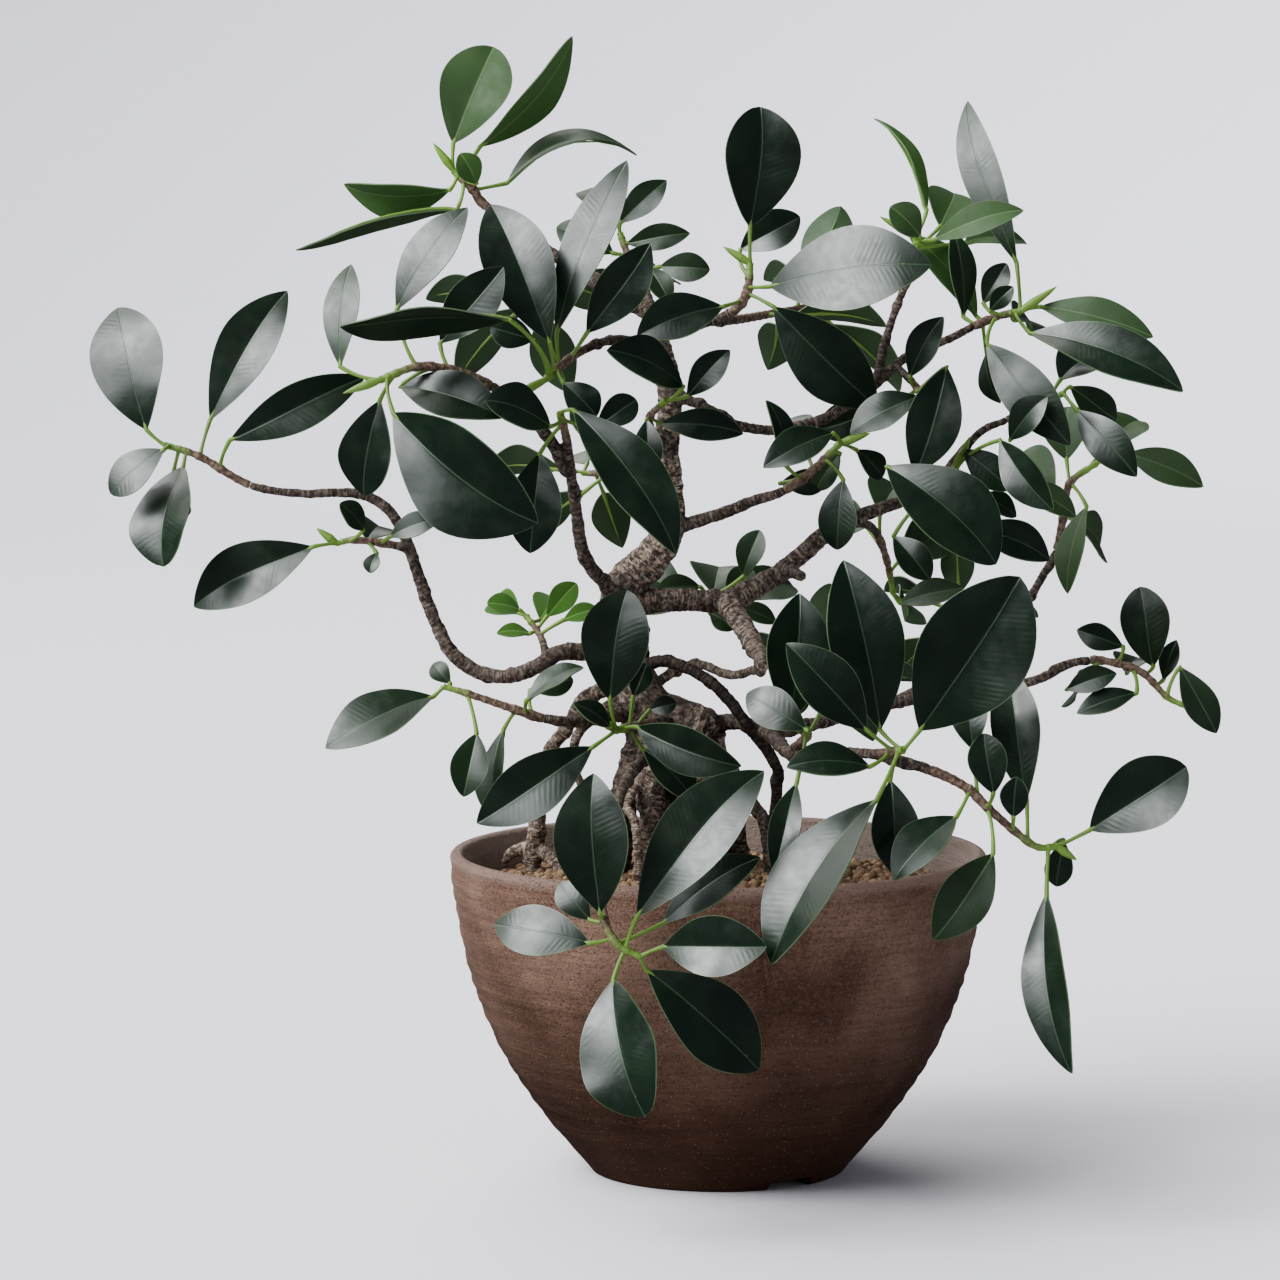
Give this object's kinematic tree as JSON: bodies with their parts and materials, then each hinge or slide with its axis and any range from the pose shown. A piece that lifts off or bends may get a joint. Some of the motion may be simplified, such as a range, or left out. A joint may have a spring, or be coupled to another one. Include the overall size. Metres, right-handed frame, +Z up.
{
  "type": "chinese banyan bonsai in a round pot",
  "caption": "Small banyan fig bonsai with aerial roots, branches and glossy leaves, standing in a round unglazed stoneware pot filled with soil.",
  "frame": {"origin": "below the middle of the whole part's bounding box, on the plane that the pot stands on", "axes": "+Z up, -Y towards the side that the reference picture shows, +X to the right of it"},
  "size_m": [0.3366, 0.2214, 0.338],
  "materials": {
    "stoneware": "unglazed brown stoneware with throwing ridges and light and dark specks",
    "netting": "black drain netting",
    "soil_grains": "dry light brown clay granules",
    "bark": "grey brown bark with rings, lenticels and flakes",
    "foliage": "glossy leathery dark green leaves, brighter when young"
  },
  "bodies": {
    "root": {"pot": "stoneware", "drain_mesh": "netting", "soil": "soil_grains", "tree_wood": "bark", "leaves_top_left": "foliage", "leaves_top_back": "foliage", "leaves_upper_front": "foliage", "leaves_left_front": "foliage", "leaves_middle_front": "foliage", "leaves_middle": "foliage", "leaves_top_middle": "foliage", "leaves_top_right": "foliage", "leaves_right_high": "foliage", "leaves_right_inner": "foliage", "leaves_right_tip": "foliage", "leaves_right_middle": "foliage", "leaves_back_right": "foliage", "leaves_behind_right": "foliage", "leaves_middle_right": "foliage", "leaves_lower_right": "foliage", "leaves_lower_middle": "foliage", "leaves_lower_right_tip": "foliage", "leaves_right_low": "foliage", "leaves_behind_low": "foliage", "leaves_behind_middle": "foliage", "leaves_behind_right_middle": "foliage", "leaves_behind_left": "foliage", "leaves_behind_high": "foliage", "leaves_behind_top": "foliage", "leaves_left_low": "foliage", "leaves_left_side": "foliage", "leaves_left_inner": "foliage", "leaves_left_bottom": "foliage", "leaves_trunk_front": "foliage", "leaves_before_pot": "foliage"}
  },
  "joints": []
}
